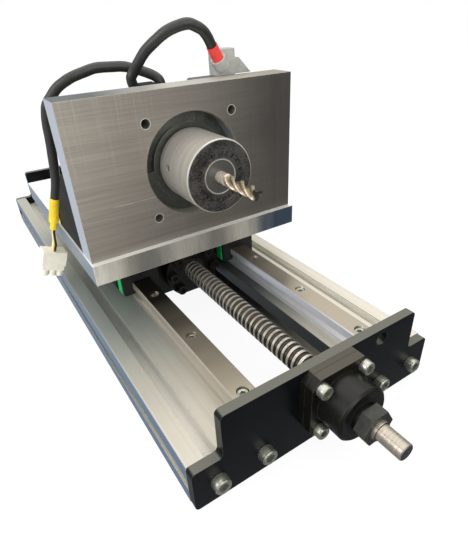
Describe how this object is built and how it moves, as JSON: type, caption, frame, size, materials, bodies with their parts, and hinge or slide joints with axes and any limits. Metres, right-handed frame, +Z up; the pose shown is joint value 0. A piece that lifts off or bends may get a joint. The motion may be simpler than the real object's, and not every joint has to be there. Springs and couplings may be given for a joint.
{
  "type": "ball screw linear module",
  "caption": "Motorised linear axis: a saddle with a milling spindle head runs on two rails and is driven by a ball screw between two end plates.",
  "frame": {"origin": "on the floor, midway between the sides and midway between the drive journal's tip and the rear bearing unit", "axes": "+X across to the right seen from the drive end, +Y along the ball screw from the drive end to the rear, +Z up"},
  "size_m": [0.2005, 0.542, 0.2215],
  "materials": {
    "anodised_aluminium": "satin anodised extrusion",
    "plate_paint": "gloss near-black coating",
    "zinc_steel": "bright zinc",
    "rail_steel": "ground",
    "black_oxide": "black oxide",
    "bearing_steel": "polished",
    "seal_rubber": "matte",
    "ball_screw_steel": "rolled thread, bright lands",
    "block_steel": "dark ground steel",
    "cap_green": "moulded",
    "saddle_aluminium": "milled",
    "head_aluminium": "brushed",
    "wiper_felt": "felt",
    "motor_paint": "semi-gloss black",
    "flange_aluminium": "cast and machined",
    "cable_black": "matte jacket",
    "sleeve_red": "heat-shrink",
    "hood_grey": "moulded",
    "sleeve_yellow": "heat-shrink",
    "wire_yellow": "insulation",
    "plug_cream": "moulded",
    "holder_steel": "turned",
    "shaft_steel": "ground",
    "tool_carbide": "coated carbide"
  },
  "bodies": {
    "base": {"left_profile": "anodised_aluminium", "right_profile": "anodised_aluminium", "drive_end_plate": "plate_paint", "rear_end_plate": "plate_paint", "end_plate_screws": "zinc_steel", "left_rail": "rail_steel", "right_rail": "rail_steel", "rail_screws": "black_oxide", "rail_slot_nuts": "zinc_steel", "bearing_housing": "black_oxide", "bearing_cover": "black_oxide", "bearing_outer_rings": "bearing_steel", "bearing_balls": "bearing_steel", "bearing_unit_screws": "zinc_steel", "shaft_seals": "seal_rubber", "rear_bearing_housing": "black_oxide", "rear_bearing_outer_ring": "bearing_steel", "rear_bearing_balls": "bearing_steel", "rear_unit_screws": "zinc_steel"},
    "screw": {"ball_screw": "ball_screw_steel", "screw_thread": "ball_screw_steel", "spacer_collars": "black_oxide", "lock_nut": "black_oxide", "bearing_inner_rings": "bearing_steel", "rear_bearing_inner_ring": "bearing_steel", "rear_circlip": "black_oxide"},
    "carriage": {"saddle_plate": "saddle_aluminium", "riser_bars": "saddle_aluminium", "front_left_block": "block_steel", "front_right_block": "block_steel", "rear_left_block": "block_steel", "rear_right_block": "block_steel", "block_end_caps": "cap_green", "block_end_seals": "seal_rubber", "block_screws": "black_oxide", "riser_screws": "black_oxide", "ball_nut": "block_steel", "nut_wipers": "wiper_felt", "nut_bracket": "black_oxide", "nut_screws": "zinc_steel", "bracket_screws": "black_oxide", "spindle_plate": "head_aluminium", "left_gusset": "black_oxide", "right_gusset": "black_oxide", "head_screws": "black_oxide", "motor_flange": "flange_aluminium", "motor_body": "motor_paint", "motor_rear_cover": "motor_paint", "motor_screws": "black_oxide", "cable_grommets": "seal_rubber", "encoder_cable": "cable_black", "encoder_sleeve": "sleeve_red", "encoder_connector": "hood_grey", "power_cable": "cable_black", "power_sleeve": "sleeve_yellow", "power_wires": "wire_yellow", "power_plug": "plug_cream"},
    "spindle": {"spindle_shaft": "shaft_steel", "tool_holder": "holder_steel", "end_mill": "tool_carbide"}
  },
  "joints": [
    {"name": "carriage_slide", "type": "slide", "parent": "base", "child": "carriage", "axis": [0, 1, 0], "range_m": [-0.14, 0.12]},
    {"name": "screw_spin", "type": "hinge", "parent": "base", "child": "screw", "pos_m": [0, 0, 0.038], "axis": [0, 1, 0], "range_deg": [-8650, 10090]},
    {"name": "spindle_spin", "type": "hinge", "parent": "carriage", "child": "spindle", "pos_m": [0, 0, 0.134], "axis": [0, 1, 0], "continuous": true}
  ],
  "couplings": [
    {"joint": "screw_spin", "follows": "carriage_slide", "rad_per_m": -1256.6}
  ]
}
